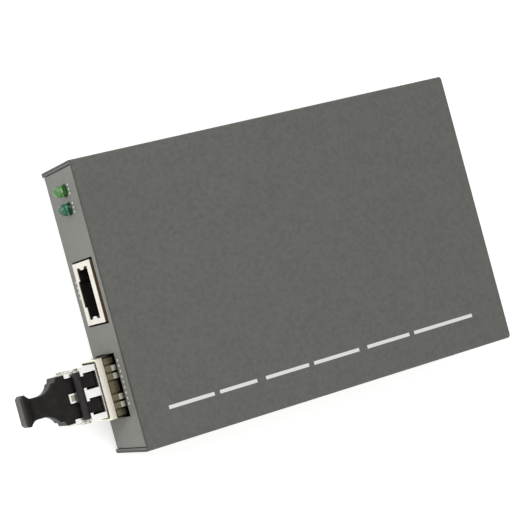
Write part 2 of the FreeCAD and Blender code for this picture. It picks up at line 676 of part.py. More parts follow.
def module_cage():
    """Folded cage, open at the front, with a latch hole and an opening for the connector."""
    cage = module_solid("module_cage")
    half, wall = "cage_width/2", "cage_thick"
    inner = "%s - %s" % (half, wall)
    cage.add("y", "-cage_overhang", "cage_rear",
             box_corners("-" + half, half, "0", "cage_height"))
    cage.cut("y", "-cage_overhang - 1", "cage_rear - cage_thick", box_corners(
        "-(%s)" % inner, inner, wall, "cage_height - cage_thick"))
    cage.cut("z", "-1", "2*cage_thick", box_corners(
        "-(%s)" % inner, inner, "connector_front - 1", "cage_rear - cage_thick"))
    cage.cut("z", "-1", "2*cage_thick", box_corners(
        "-latch_hole_width/2", "latch_hole_width/2", "latch_hole_y - latch_hole_length/2",
        "latch_hole_y + latch_hole_length/2"))


def finger_outline(start, base, rise, bow):
    """Crescent section of a sprung finger that bows away from the cage's face at base."""
    inner = "(finger_reach^2/(8*%s) + %s/2)" % (rise, rise)
    outer = "(%s + finger_thick)" % inner
    spread = "(sqrt(%s^2 - (%s - %s)^2) - finger_reach/2)" % (outer, inner, rise)
    end = "%s + finger_reach" % start
    return (("%s - %s" % (start, spread), base, "-(%s)*%s" % (bow, outer)),
            ("%s + %s" % (end, spread), base),
            (end, base, "%s*%s" % (bow, inner)),
            (start, base))


def cage_spring_collar():
    """Band round the cage's mouth with sprung fingers that bow out towards the panel."""
    collar = module_solid("cage_spring_collar")
    half, thick, high = "cage_width/2", "collar_thick", "cage_height"
    collar.add("y", "-cage_overhang", "-finger_base", box_corners(
        "-%s - %s" % (half, thick), "%s + %s" % (half, thick), "-" + thick,
        "%s + %s" % (high, thick)), box_corners("-" + half, half, "0", high))
    flat_fingers = [("0", "middle_finger_width", "finger_low_rise")]
    for side in ("-1", "1"):
        flat_fingers.append((side + "*end_finger_x", "finger_width", "finger_low_rise"))
        for index in (0, 1):
            flat_fingers.append(("%s*(finger_offset + %d*finger_pitch)" % (side, index),
                                 "finger_width", "finger_rise"))
    start = "-finger_base - finger_overlap"
    for middle, width, rise in flat_fingers:
        edges = "%s - %s/2" % (middle, width), "%s + %s/2" % (middle, width)
        collar.add("x", *edges, finger_outline(start, high, rise, "1"))
        collar.add("x", *edges, finger_outline(start, "0", rise, "-1"))
    for index in (-1, 0, 1):
        middle = "cage_height/2 + %d*side_finger_pitch" % index
        edges = middle + " - side_finger_width/2", middle + " + side_finger_width/2"
        for side in ("-1", "1"):
            outline = finger_outline(start, "%s*%s" % (side, half), "finger_low_rise", side)
            collar.add("z", *edges, [turned(corner) for corner in outline])


def turned(corner):
    """A corner drawn on (Y, X) given again on (X, Y), where a round run bulges the other way."""
    return (corner[1], corner[0]) + tuple("-(%s)" % radius for radius in corner[2:])


def module_connector():
    """Edge connector on the board, inside the back of the cage."""
    connector = module_solid("module_connector")
    half = "connector_width/2"
    connector.add("y", "connector_front", "connector_rear",
                  box_corners("-" + half, half, "0", "connector_high"))
    slot = "tongue_width/2 + running_gap"
    connector.cut("y", "connector_front - 1", "tongue_rear + running_gap", box_corners(
        "-(%s)" % slot, slot, "tongue_low - running_gap",
        "tongue_low + module_board_thick + running_gap"))
    connector.soften("0.4", lambda edge, at: along(edge, "x")
                     and at.z > number("connector_high") - 0.01, "Chamfer")


# ---------------------------------------------------------------- optical module
def module_housing():
    """Die-cast housing: the nose with both ports, and a tray that runs back into the cage."""
    housing = module_solid("module_housing")
    nose, body = "nose_width/2", "body_width/2"
    housing.add("y", "-nose_reach", "-cage_overhang - nose_seam", box_corners(
        "-" + nose, nose, "nose_low", "nose_high"))
    housing.add("y", "-cage_overhang - 2*nose_seam", "block_back", box_corners(
        "-" + body, body, "body_low", "block_high"))
    housing.add("y", "block_back - body_wall", "body_rear", box_corners(
        "-" + body, body, "body_low", "body_high"))
    housing.cut("y", "block_back", "body_rear + 1", box_corners(
        "-%s + body_wall" % body, "%s - body_wall" % body, "body_low + body_wall",
        "body_high + 1"))
    housing.cut("y", "-nose_reach - 1", "-step_back", box_corners(
        "-%s - 1" % nose, nose + " + 1", "step_high", "nose_high + 1"))
    for side in ("-1", "1"):
        cheek = span(side + "*nose_front_width/2", side + "*(nose_width/2 + 1)")
        housing.cut("x", *cheek, box_corners(
            "-nose_reach - 1", "-nose_front_back", "nose_low - 1", "nose_high + 1"))
        cut_port(housing, side + "*port_pitch/2")
    cut_rocker_slot(housing)
    housing.soften("0.25", lambda edge, at: along(edge, "x")
                   and abs(at.y + number("nose_reach")) < 0.01
                   and abs(at.z - number("step_high")) < 0.01, "Chamfer")





def cut_port(housing, x):
    """Port for one fibre plug: square bore, keyway, latch slot in the roof, and barrel hole."""
    def rows(width):
        return "%s - %s/2" % (x, width), "%s + %s/2" % (x, width)
    low = rows("port_width")
    housing.cut("y", "-nose_reach - 1", "-wall_back",
                box_corners(*low, "port_low", "port_high"))
    housing.cut("y", "-nose_reach - 1", "-wall_back",
                box_corners(*rows("keyway_width"), "port_high - 0.1", "step_high"))
    housing.cut("z", "port_high", "nose_high + 1", box_corners(
        *rows("latch_slot_width"), "-latch_slot_front", "-latch_slot_back"))
    housing.cut("z", "port_high", "nose_high + 1", box_corners(
        *rows("latch_neck_width"), "-step_back - 1", "-latch_slot_front + 0.1"))
    housing.cut("y", "-wall_back - 0.1", "block_back + 1", circles=(
        (x, "barrel_z", "barrel_width + 2*running_gap"),))


def cut_rocker_slot(housing):
    """Slot along the underside for the latch rocker, with pockets for its pin and the bail's."""
    housing.cut("z", "nose_low - 1", "rocker_slot_high", box_corners(
        "-rocker_slot_width/2", "rocker_slot_width/2", "rocker_front - 0.5",
        "rocker_rear + 0.5"))
    housing.cut("x", "-rocker_pin_half - running_gap", "rocker_pin_half + running_gap",
                circles=(("rocker_pivot_y", "rocker_pivot_z", "rocker_pin + 2*running_gap"),))
    for side in ("-1", "1"):
        pocket = span(side + "*(leg_inside - hinge_pin)", side + "*nose_width/2")
        housing.cut("x", *pocket,
                    circles=(("hinge_y", "hinge_z", "hinge_pin + 2*running_gap"),))


def module_shell():
    """Folded cover over the housing's tray, inside the cage."""
    shell = module_solid("module_shell")
    half, wall = "shell_width/2", "shell_thick"
    shell.add("y", "-cage_overhang", "body_rear", (
        ("-" + half, "shell_low"), ("-%s + %s" % (half, wall), "shell_low"),
        ("-%s + %s" % (half, wall), "shell_high - shell_thick"),
        ("%s - %s" % (half, wall), "shell_high - shell_thick"),
        ("%s - %s" % (half, wall), "shell_low"), (half, "shell_low"), (half, "shell_high"),
        ("-" + half, "shell_high")))


def module_board():
    """The module's own board; its tongue plugs into the connector."""
    board = module_solid("module_board")
    wing, tongue = "body_width/2 - body_wall/2", "tongue_width/2"
    top = "tongue_low + module_board_thick"
    board.add("z", "tongue_low", top, (
        ("-(%s)" % wing, "board_wing_front"), (wing, "board_wing_front"),
        (wing, "board_wing_rear"), (tongue, "board_wing_rear"), (tongue, "tongue_rear"),
        ("-" + tongue, "tongue_rear"), ("-" + tongue, "board_wing_rear"),
        ("-(%s)" % wing, "board_wing_rear")))


def optical_barrel(label, x):
    """Turned optical sub-assembly: a sleeve that faces the fibre, and its sealed can."""
    barrel = Solid(label, "module_x + %s" % x, "front_y", "board_top + barrel_z")
    sleeve, can = "barrel_width/2", "can_width/2"
    barrel.turn("z", (
        ("0", "-barrel_front + 1.5"), ("0.7", "-barrel_front + 1.5"), ("0.7", "-barrel_front"),
        (sleeve, "-barrel_front"), (sleeve, "block_back"), (can, "block_back"),
        (can, "block_back + can_length"), ("0", "block_back + can_length")), "V_Axis")
    end = "block_back + can_length"
    for px in ("-0.9", "0.9"):
        barrel.add("y", end, "%s + can_pin_length" % end, circles=((px, "0", "0.45"),))


# ---------------------------------------------------------------- release bail and latch
def release_bail():
    """Bail: a crossbar, two flat legs with rounded ends, and the hinge pins they turn on."""
    bail = Solid("release_bail", "module_x", "front_y + hinge_y", "board_top + hinge_z")
    y, z = "(crossbar_y - hinge_y)", "(crossbar_z - hinge_z)"
    reach = "sqrt(%s^2 + %s^2)" % (y, z)
    side_y, side_z = "(leg_width/2*%s/(%s))" % (z, reach), "(leg_width/2*%s/(%s))" % (y, reach)
    outside = "(leg_inside + leg_thick)"
    bail.add("x", "-" + outside, outside, circles=((y, z, "crossbar_width"),))
    for side in ("-1", "1"):
        bail.add("x", *span(side + "*leg_inside", side + "*" + outside), (
            (side_y, "-" + side_z),
            ("%s + %s" % (y, side_y), "%s - %s" % (z, side_z), "leg_width/2"),
            ("%s - %s" % (y, side_y), "%s + %s" % (z, side_z)),
            ("-" + side_y, side_z, "leg_width/2")))
        bail.add("x", *span(side + "*(leg_inside - hinge_pin)",
                            side + "*(leg_inside + leg_thick/2)"),
                 circles=(("0", "0", "hinge_pin"),))


def bail_sleeve():
    """Sleeve moulded round the crossbar."""
    sleeve = Solid("bail_sleeve", "module_x", "front_y + crossbar_y", "board_top + crossbar_z")
    sleeve.add("x", "-sleeve_half", "sleeve_half", circles=(
        ("0", "0", "sleeve_width"), ("0", "0", "crossbar_width")))
    sleeve.soften("sleeve_edge", lambda edge, at: abs(
        edge.BoundBox.YLength - number("sleeve_width")) < 0.01
        and edge.BoundBox.XLength < 0.01, "Chamfer")


def latch_rocker():
    """Rocking latch under the module: pivot pin, and a wedge that locks in the cage's hole."""
    rocker = Solid("latch_rocker", "module_x", "front_y + rocker_pivot_y",
                   "board_top + rocker_pivot_z")
    y, z = "%s - rocker_pivot_y", "%s - rocker_pivot_z"
    half = "rocker_width/2"
    rocker.add("x", "-" + half, half, (
        (y % "rocker_front", z % "rocker_low"), (y % "rocker_rear", z % "rocker_low"),
        (y % "rocker_rear", z % "rocker_high"), (y % "rocker_front", z % "rocker_high")))
    rocker.add("x", "-boss_width/2", "boss_width/2", (
        (y % "boss_front", z % "rocker_low"), (y % "boss_rear", z % "boss_low"),
        (y % "boss_rear", z % "rocker_high"), (y % "boss_front", z % "rocker_high")))
    rocker.add("x", "-rocker_pin_half", "rocker_pin_half", circles=(("0", "0", "rocker_pin"),))


# ---------------------------------------------------------------- dust plug
def dust_plug():
    """Dust plug: two prongs, a shouldered body, a thin neck and a grip bar.

    The body falls to the neck, and the neck widens to the grip, in hollow round runs that lie
    level with the neck where they meet it, both in plan and from the side.
    """
    plug = module_solid("dust_plug")
    waist, neck, grip = "waist_width/2", "neck_width/2", "grip_width/2"
    right = [("plug_body_width/2", "-plug_front"), ("plug_body_width/2", "-shoulder_end"),
             (waist, "-waist_start"),
             (waist, "-waist_end", hollow("(%s - %s)" % (waist, neck), "(neck_start - waist_end)")),
             (neck, "-neck_start"),
             (neck, "-neck_end", hollow("(%s - %s)" % (grip, neck), "(grip_start - neck_end)")),
             (grip, "-grip_start"), (grip, "-grip_end + grip_corner"),
             (grip + " - grip_corner", "-grip_end")]
    plug.add("z", "plug_body_low", "rib_high", right + walked_back(right))
    for side in ("1", "-1"):
        cut_plug_side(plug, side)
    plug.soften("plug_edge", lambda edge, at: at.y < number("-shoulder_end")
                and abs(at.z - number("plug_axis_z")) > number("neck_thick") / 3
                and edge.Length > 0.5, "Chamfer")
    for side in ("-1", "1"):
        add_prong(plug, side + "*port_pitch/2")


def hollow(fall, run):
    """Radius of a round run that falls by one distance over another and ends level."""
    return "((%s^2 + %s^2)/(2*%s))" % (fall, run, fall)


def walked_back(corners):
    """The same corners on the other side of the middle, in the opposite order."""
    back = []
    for corner, before in zip(reversed(corners), [*reversed(corners[:-1]), ()]):
        back.append(("-(%s)" % corner[0], corner[1]) + tuple(before[2:]))
    return back


def cut_plug_side(plug, side):
    """Scoop one face of the plug down from its shoulder to the neck and up to the grip."""
    def level(half_thick):
        return "plug_axis_z + %s*(%s)" % (side, half_thick)
    face = "(rib_high - plug_body_low)/2"
    scoop = hollow("((rib_high - plug_body_low - neck_thick)/2)", "(neck_start - shoulder_end)")
    rise = hollow("((grip_thick - neck_thick)/2)", "(grip_start - neck_end)")
    plug.cut("x", "-plug_body_width", "plug_body_width", (
        ("-shoulder_end", level(face + " + 1")),
        ("-shoulder_end", level(face), "-(%s)*%s" % (side, scoop)),
        ("-neck_start", level("neck_thick/2")),
        ("-neck_end", level("neck_thick/2"), "-(%s)*%s" % (side, rise)),
        ("-grip_start", level("grip_thick/2")), ("-grip_end - 1", level("grip_thick/2")),
        ("-grip_end - 1", level(face + " + 1"))))


def add_prong(plug, x):
    """Prong for one port: a block, and a narrower rib that runs in the keyway."""
    back, tip = "-plug_front - 0.2", "-(nose_reach - prong_depth)"
    for width, low, high in (("prong_width", "prong_low", "prong_high"),
                             ("rib_width", "prong_high - 0.5", "rib_high")):
        plug.add("y", back, tip, box_corners(
            "%s - %s/2" % (x, width), "%s + %s/2" % (x, width), low, high))


# ---------------------------------------------------------------- power inlet
def inlet_solid(label):
    return Solid(label, "inlet_x", "rear_y", "board_top")


def power_inlet_body():
    """Moulded inlet with a round bore for the power plug."""
    inlet = inlet_solid("power_inlet_body")
    half = "inlet_width/2"
    inlet.add("y", "-inlet_depth", "0", box_corners("-" + half, half, "0", "inlet_height"))
    inlet.cut("y", "-inlet_bore_depth", "1", circles=(("0", "inlet_axis_up", "inlet_bore"),))
    inlet.cut("y", "-inlet_bore_depth - 2", "-inlet_bore_depth + 1", circles=(
        ("0", "inlet_axis_up", "inlet_pin"),))
    inlet.cut("y", "-inlet_bore_depth", "-1.5", box_corners(
        "-spring_width/2 - running_gap", "spring_width/2 + running_gap",
        "inlet_axis_up - inlet_bore/2 - 2*spring_thick", "inlet_axis_up"))
    inlet.soften("0.5", lambda edge, at: along(edge, "y")
                 and at.z > number("inlet_height") - 0.01)


def power_inlet_pin():
    """Centre pin with a rounded tip."""
    pin = Solid("power_inlet_pin", "inlet_x", "rear_y", "board_top + inlet_axis_up")
    radius = "inlet_pin/2"
    pin.turn("z", (
        ("0", "-inlet_bore_depth - 2"), (radius, "-inlet_bore_depth - 2"),
        (radius, "inlet_pin_length - inlet_bore_depth - %s" % radius, radius),
        ("0", "inlet_pin_length - inlet_bore_depth")), "V_Axis")


def power_inlet_spring():
    """Sprung contact along the bottom of the bore."""
    spring = inlet_solid("power_inlet_spring")
    low = "inlet_axis_up - inlet_bore/2 - 2*spring_thick"
    crown = "inlet_axis_up - inlet_bore/2"
    spring.add("x", "-spring_width/2", "spring_width/2", (
        ("-inlet_bore_depth", low), ("-inlet_bore_depth/2", low), ("-3", low + " + 0.2"),
        ("-1.6", low), ("-1.6", low + " + spring_thick"), ("-3", crown + " + 0.2"),
        ("-inlet_bore_depth/2", low + " + spring_thick"),
        ("-inlet_bore_depth", low + " + spring_thick")))


# ---------------------------------------------------------------- parts on the board
def add_leads(package, half, axis, pitch, count, mount_low):
    """Rows of bent leads on both sides of a package."""
    span = "(%s - 1)*%s" % (count, pitch)
    for side in ("-1", "1"):
        near, far = "%s*(%s - 0.2)" % (side, half), "%s*(%s + lead_foot)" % (side, half)
        knee = "%s*(%s + lead_foot/2)" % (side, half)
        shin = "%s*(%s + lead_foot/2 - lead_thick)" % (side, half)
        top, low = "%s + lead_thick" % mount_low, mount_low
        corners = ((near, low), (shin, low), (shin, "0"), (far, "0"), (far, "lead_thick"),
                   (knee, "lead_thick"), (knee, top), (near, top))
        start = "-(%s)/2 - chip_lead_width/2" % span
        row = package.add(axis, start, "%s + chip_lead_width" % start, corners)
        package.repeat(row, axis, span, count)


def converter_chip():
    """Square chip with bent leads on all four sides."""
    chip = Solid("converter_chip", "chip_x", "chip_y", "board_top")
    half = "chip_size/2"
    chip.add("z", "0.15", "chip_high", box_corners("-" + half, half, "-" + half, half))
    for axis in ("y", "x"):
        add_leads(chip, half, axis, "chip_lead_pitch", "chip_leads", "chip_high/2")


def heat_sink():
    """Extruded heat sink with straight fins, bonded to the chip."""
    sink = Solid("heat_sink", "chip_x", "chip_y", "board_top + chip_high")
    half = "sink_size/2"
    sink.add("z", "0", "sink_base", box_corners("-" + half, half, "-" + half, half))
    fin = sink.add("z", "sink_base/2", "sink_high", box_corners(
        "-" + half, "-%s + sink_fin_thick" % half, "-" + half, half))
    sink.repeat(fin, "x", "sink_size - sink_fin_thick", "sink_fins")


def socket_transformer():
    """Line transformer block behind the copper socket."""
    block = Solid("socket_transformer", "socket_x", "magnetics_y", "board_top")
    wide, long = "magnetics_width/2", "magnetics_length/2"
    block.add("z", "0.2", "magnetics_high", box_corners("-" + wide, wide, "-" + long, long))
    block.soften("0.5", lambda edge, at: at.z > number("magnetics_high") - 0.01, "Chamfer")
    add_leads(block, long, "x", "magnetics_lead_pitch", "magnetics_leads", "1")


def clock_crystal():
    """Metal-canned crystal with round ends and a brim."""
    crystal = Solid("clock_crystal", "crystal_x", "crystal_y", "board_top")
    for low, high, grow in (("0", "0.5", "0"), ("0.25", "crystal_high", "-0.4")):
        half = "(crystal_width/2 + %s)" % grow
        straight = "(crystal_length - crystal_width)/2"
        crystal.add("z", low, high, (
            ("-%s" % straight, "-" + half), (straight, "-" + half, half),
            (straight, half), ("-%s" % straight, half, half)))
    crystal.soften("0.5", lambda edge, at: at.z > number("crystal_high") - 0.01, "Chamfer")


def filter_capacitors():
    """Row of round capacitors, each with a rolled groove near its foot."""
    cans = []
    for index in range(int(number("capacitor_count"))):
        can = Solid("capacitor_%d" % (index + 1), "capacitor_x",
                    "capacitor_y + %d*capacitor_pitch" % index, "board_top")
        radius = "capacitor_width/2"
        can.turn("y", (
            ("0", "0"), (radius, "0"), (radius, "1.2"), (radius + " - 0.35", "1.6"),
            (radius, "2"), (radius, "capacitor_high - 0.4"),
            (radius + " - 0.4", "capacitor_high"), ("0", "capacitor_high")), "V_Axis")
        cans.append(can.body)
    group("filter_capacitors", cans)


def power_coil():
    """Shielded coil: a square base and top, and a round drum between them."""
    coil = Solid("power_coil", "coil_x", "coil_y", "board_top")
    half = "coil_size/2"
    square = box_corners("-" + half, half, "-" + half, half)
    coil.add("z", "0", "1", square)
    coil.add("z", "0.5", "coil_high", circles=(("0", "0", "coil_size - coil_margin"),))
    coil.soften("1", lambda edge, at: along(edge, "z") and edge.Length < 1.1)


def voltage_regulator():
    """Regulator with a metal tab on one side and two leads on the other."""
    regulator = Solid("voltage_regulator", "regulator_x", "regulator_y", "board_top")
    wide, long = "regulator_width/2", "regulator_length/2"
    regulator.add("z", "0", "regulator_high", box_corners("-" + wide, wide, "-" + long, long))
    regulator.add("z", "0", "tab_thick", box_corners(
        "-%s + 0.5" % wide, "%s - 0.5" % wide, long + " - 0.5", long + " + tab_length"))
    for x in ("-regulator_width/3", "regulator_width/3"):
        regulator.add("z", "0", "tab_thick", box_corners(
            x + " - 0.4", x + " + 0.4", "-%s - tab_length" % long, "-%s + 0.5" % long))
    regulator.soften("0.4", lambda edge, at: at.z > number("regulator_high") - 0.01, "Chamfer")


# ---------------------------------------------------------------- build, check and write
def build():
    for make in (top_cover, base_tray, cover_screws, board_standoffs, board_screws,
                 circuit_board, copper_socket_shield, copper_socket_insert,
                 copper_socket_contacts, lamp_leads, lamp_holder, module_cage,
                 cage_spring_collar, module_connector, module_housing, module_shell,
                 module_board, release_bail, bail_sleeve, latch_rocker, dust_plug,
                 power_inlet_body, power_inlet_pin, power_inlet_spring, converter_chip,
                 heat_sink, socket_transformer, clock_crystal, filter_capacitors,
                 power_coil, voltage_regulator):
        make()
    lamp_lens("link_lamp", 0)
    lamp_lens("fibre_lamp", 1)
    optical_barrel("transmit_barrel", "-port_pitch/2")
    optical_barrel("receive_barrel", "port_pitch/2")
    doc.recompute()


def check():
    """Stop before writing if any object failed or any piece is not a sound shape."""
    for thing in doc.Objects:
        if "Invalid" in thing.State or "Error" in thing.State:
            raise RuntimeError("%s failed to build" % thing.Label)
    for thing in pieces:
        if thing.Shape.isNull() or not thing.Shape.isValid():
            raise RuntimeError("%s has no sound shape" % thing.Label)


def write():
    os.makedirs("parts", exist_ok=True)
    for thing in pieces:
        thing.Shape.exportStep("parts/%s.step" % thing.Label)


fill_sheet()
build()
check()
write()
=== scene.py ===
"""Looks of a fibre media converter: painted sheet case, plated sockets and a rubber dust plug."""
import math

import bmesh
import bpy
from mathutils import Matrix, Vector


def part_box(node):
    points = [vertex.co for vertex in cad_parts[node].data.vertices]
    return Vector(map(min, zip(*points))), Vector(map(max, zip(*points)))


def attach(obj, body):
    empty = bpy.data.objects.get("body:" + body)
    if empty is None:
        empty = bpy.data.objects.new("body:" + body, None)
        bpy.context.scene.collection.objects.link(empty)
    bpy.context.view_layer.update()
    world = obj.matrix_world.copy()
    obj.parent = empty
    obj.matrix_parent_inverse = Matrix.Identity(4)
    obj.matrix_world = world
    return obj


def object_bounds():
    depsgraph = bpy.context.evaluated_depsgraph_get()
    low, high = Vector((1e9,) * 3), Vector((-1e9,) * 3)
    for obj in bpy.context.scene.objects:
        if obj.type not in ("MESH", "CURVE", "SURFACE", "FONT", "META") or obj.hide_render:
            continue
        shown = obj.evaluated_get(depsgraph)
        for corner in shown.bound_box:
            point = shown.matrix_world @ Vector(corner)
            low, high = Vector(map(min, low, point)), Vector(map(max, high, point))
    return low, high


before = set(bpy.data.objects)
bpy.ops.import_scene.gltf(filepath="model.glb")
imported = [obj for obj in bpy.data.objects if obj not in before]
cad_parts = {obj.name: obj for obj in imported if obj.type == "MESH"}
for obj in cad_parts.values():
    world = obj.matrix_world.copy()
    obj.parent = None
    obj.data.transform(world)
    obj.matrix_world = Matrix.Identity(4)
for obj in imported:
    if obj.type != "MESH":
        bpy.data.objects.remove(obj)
cad_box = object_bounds()


# ---------------------------------------------------------------- base tray
# Folded steel tray: the floor and both end panels are one sheet, powder coated warm grey.
# Rows of small plain marks are printed on the front panel, one by each lamp and each socket.
MM = 0.001


def corners_mm(name):
    """Lowest and highest corner of a CAD node at rest, in millimetres."""
    return [[length / MM for length in corner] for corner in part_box(name)]


class Signal:
    """What comes out of a node; sums and comparisons on it add Math nodes."""

    def __init__(self, graph, socket):
        self.graph = graph
        self.socket = socket

    def maths(self, operation, *values):
        """One Math node, on this signal alone where no values are given."""
        return self.graph.node("ShaderNodeMath", {"operation": operation}, values or (self,))

    def __add__(self, other):
        return self.maths("ADD", self, other)

    def __sub__(self, other):
        return self.maths("SUBTRACT", self, other)

    def __rsub__(self, other):
        return self.maths("SUBTRACT", other, self)

    def __mul__(self, other):
        return self.maths("MULTIPLY", self, other)

    def __truediv__(self, other):
        return self.maths("DIVIDE", self, other)

    def __gt__(self, other):
        return self.maths("GREATER_THAN", self, other)

    def __lt__(self, other):
        return self.maths("LESS_THAN", self, other)

    def either(self, other):
        return self.maths("MAXIMUM", self, other)

    def between(self, low, high):
        return (self > low) * (self < high)

    def ramp(self, low, high):
        """0 up to low, 1 from high on, and straight between."""
        return self.graph.node("ShaderNodeMapRange", {"clamp": True}, (self, low, high, 0.0, 1.0))

    __radd__ = __add__
    __rmul__ = __mul__


class Graph:
    """A node tree, and the one way in which nodes are added to it."""

    def __init__(self, tree):
        self.tree = tree

    def node(self, kind, settings=None, values=(), output=0):
        """Any node: its settings first, then a value or a link for each socket it names."""
        made = self.tree.nodes.new(kind)
        for name, setting in (settings or {}).items():
            setattr(made, name, setting)
        pairs = values.items() if isinstance(values, dict) else enumerate(values)
        for key, value in pairs:
            if isinstance(value, Signal):
                self.tree.links.new(value.socket, made.inputs[key])
            else:
                made.inputs[key].default_value = value
        return Signal(self, made.outputs[output]) if made.outputs else None


class Finish(Graph):
    """One material: a Principled surface and the nodes that vary it over the piece."""

    def __init__(self, name, colour, roughness, metallic=0.0, **sockets):
        self.material = bpy.data.materials.new(name)
        self.material.use_nodes = True
        super().__init__(self.material.node_tree)
        self.surface = self.tree.nodes["Principled BSDF"]
        self.colour = (*colour, 1.0)
        plain = {"Base Color": self.colour, "Roughness": roughness, "Metallic": metallic}
        for socket, value in (plain | sockets).items():
            self.surface.inputs[socket.replace("_", " ")].default_value = value
        self.object_spot = self.node("ShaderNodeTexCoord", output="Object")

    def place(self, axis):
        """Where a point of the piece is along X, Y or Z, in millimetres."""
        return self.node("ShaderNodeSeparateXYZ", values=(self.object_spot,), output=axis) / MM

    def grain(self, size, detail=2.0, stretch=(1.0, 1.0, 1.0)):
        """Noise from 0 to 1, with grains of a size in millimetres times a stretch along X, Y, Z."""
        spot = self.node("ShaderNodeMapping", values={"Vector": self.object_spot, "Scale": [
            1.0 / (size * MM * amount) for amount in stretch]})
        return self.node("ShaderNodeTexNoise", values={
            "Vector": spot, "Scale": 1.0, "Detail": detail})

    def mix(self, mask, under, over):
        """One colour where the mask is 0, and another where it is 1."""
        return self.node("ShaderNodeMix", {"data_type": "RGBA"}, {0: mask, 6: under, 7: over},
                         output=2)

    def feed(self, socket, signal):
        """Let a signal vary one of the surface's own sockets."""
        self.tree.links.new(signal.socket, self.surface.inputs[socket])

    def tint(self, mask, colour):
        """Lay a colour over what is there already, where the mask is 1."""
        self.colour = self.mix(mask, self.colour, (*colour, 1.0))
        self.feed("Base Color", self.colour)

    def relief(self, height, depth, edge=0.15):
        """Raise and sink the surface by a height signal times a depth, and ease its edges by a
        radius, both in millimetres."""
        eased = self.node("ShaderNodeBevel", {"samples": 6}, {"Radius": edge * MM})
        bump = self.node("ShaderNodeBump", values={
            "Strength": 1.0, "Distance": depth * MM, "Height": height, "Normal": eased})
        self.feed("Normal", bump)

    def on(self, *names):
        """Give the finish to CAD nodes."""
        for name in names:
            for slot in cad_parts[name].material_slots:
                slot.material = self.material


# Size in millimetres, the noise at which a speck starts and is full, and its tone.
DARK_SPECKS = (1.1, 0.42, 0.62, 0.76)
PALE_SPECKS = (0.55, 0.52, 0.68, 1.2)
CLOUD_CAST = (0.98, 1.0, 1.0)


def powder_coat(name, colour, cloud_shade, speckle):
    """Fine matt powder coat: wide clouds in a nearby shade, dark and pale specks of a given
    strength, and an orange-peel surface."""
    coat = Finish(name, colour, 0.6, Specular_IOR_Level=0.3)
    coat.tint(coat.grain(9.0).ramp(0.35, 0.75), [
        level * cloud_shade * cast for level, cast in zip(colour, CLOUD_CAST)])
    for size, low, high, tone in (DARK_SPECKS, PALE_SPECKS):
        coat.tint(coat.grain(size, detail=3.0).ramp(low, high) * speckle,
                  [level * tone for level in colour])
    coat.feed("Roughness", coat.grain(0.8) * 0.14 + 0.54)
    coat.relief(coat.grain(0.35, detail=3.0), 0.02, edge=0.3)
    return coat


PANEL_Y = corners_mm("base_tray")[0][1]
LAMP_BOXES = [corners_mm("link_lamp"), corners_mm("fibre_lamp")]
LAMP_X = [(low[0] + high[0]) / 2 for low, high in LAMP_BOXES]
LAMP_Z = (LAMP_BOXES[0][0][2] + LAMP_BOXES[0][1][2]) / 2
SOCKET_CORNER = corners_mm("copper_socket_shield")[0]
CAGE_LEFT = corners_mm("module_cage")[0][0]
COLLAR_TOP = corners_mm("cage_spring_collar")[1][2]
TRAY_GREY = (0.256, 0.254, 0.235)
INK = (0.78, 0.79, 0.77)
MARK_HEIGHT = 0.8
# For each row of marks: the first one's middle along X, how many there are and how far apart,
# the level they stand on, and half of one's width.
MARK_ROWS = [(lamp_x - 1.1, 3, 1.1, LAMP_Z + 2.3, 0.24) for lamp_x in LAMP_X] + [
    (SOCKET_CORNER[0] + 4.5, 4, 1.35, SOCKET_CORNER[2] - 1.6, 0.3),
    (CAGE_LEFT + 1.2, 9, 1.35, COLLAR_TOP + 1.5, 0.3)]


def printed_marks(coat, first, count, pitch, low, half_width):
    """Mask of one row of short upright marks on the front panel."""
    marks = None
    for step in range(count):
        middle = first + step * pitch
        mark = coat.place("X").between(middle - half_width, middle + half_width)
        marks = marks.either(mark) if marks else mark
    return (marks * coat.place("Z").between(low, low + MARK_HEIGHT)
            * (coat.place("Y") < PANEL_Y + 0.1))


tray_coat = powder_coat("tray_coat", TRAY_GREY, cloud_shade=0.92, speckle=0.3)
for mark_row in MARK_ROWS:
    tray_coat.tint(printed_marks(tray_coat, *mark_row), INK)
tray_coat.on("base_tray")


# ---------------------------------------------------------------- standoffs and board screws
# Turned steel posts pressed into the floor, and pan-head screws that hold the board on them.
# Both are zinc plated, with a faint lathe grain.
def plated(name, colour, roughness, grain=0.25, stretch=(1.0, 1.0, 1.0)):
    """Plated or bare metal with streaky roughness and a very fine grain."""
    metal = Finish(name, colour, roughness, metallic=1.0)
    streaks = metal.grain(grain, detail=3.0, stretch=stretch)
    metal.feed("Roughness", streaks * 0.16 + (roughness - 0.08))
    metal.relief(streaks, 0.004)
    return metal


zinc_plate = plated("zinc_plate", (0.62, 0.62, 0.60), 0.35)
zinc_plate.on("board_standoffs", "board_screws")


# ---------------------------------------------------------------- circuit board
# Glass-fibre board under a green mask, with copper runs that show through as paler lines and
# rows of tiny surface-mounted parts, each a dark body between two tinned ends.
# Painted shade: the mask's green is made nearly black to stand in for the shade inside the case.
SHADED_MASK_GREEN = (0.008, 0.045, 0.018)
RUN_GREEN = (0.02, 0.10, 0.04)
RUN_PITCH = 1.27
RUN_THICK = 0.03

board_mask = Finish("board_mask", SHADED_MASK_GREEN, 0.32)
stripes = (board_mask.place("X") / RUN_PITCH).maths("FRACT").between(0.3, 0.55)
runs = stripes * (board_mask.grain(7.0, detail=0.0, stretch=(0.3, 2.0, 1.0)) > 0.5)
board_mask.tint(runs, RUN_GREEN)
board_mask.relief(runs, RUN_THICK)
board_mask.on("circuit_board")

part_body = Finish("part_body", (0.02, 0.02, 0.022), 0.5)
part_body.tint(part_body.grain(0.3), (0.035, 0.034, 0.033))
part_end = plated("part_end", (0.7, 0.7, 0.68), 0.3)


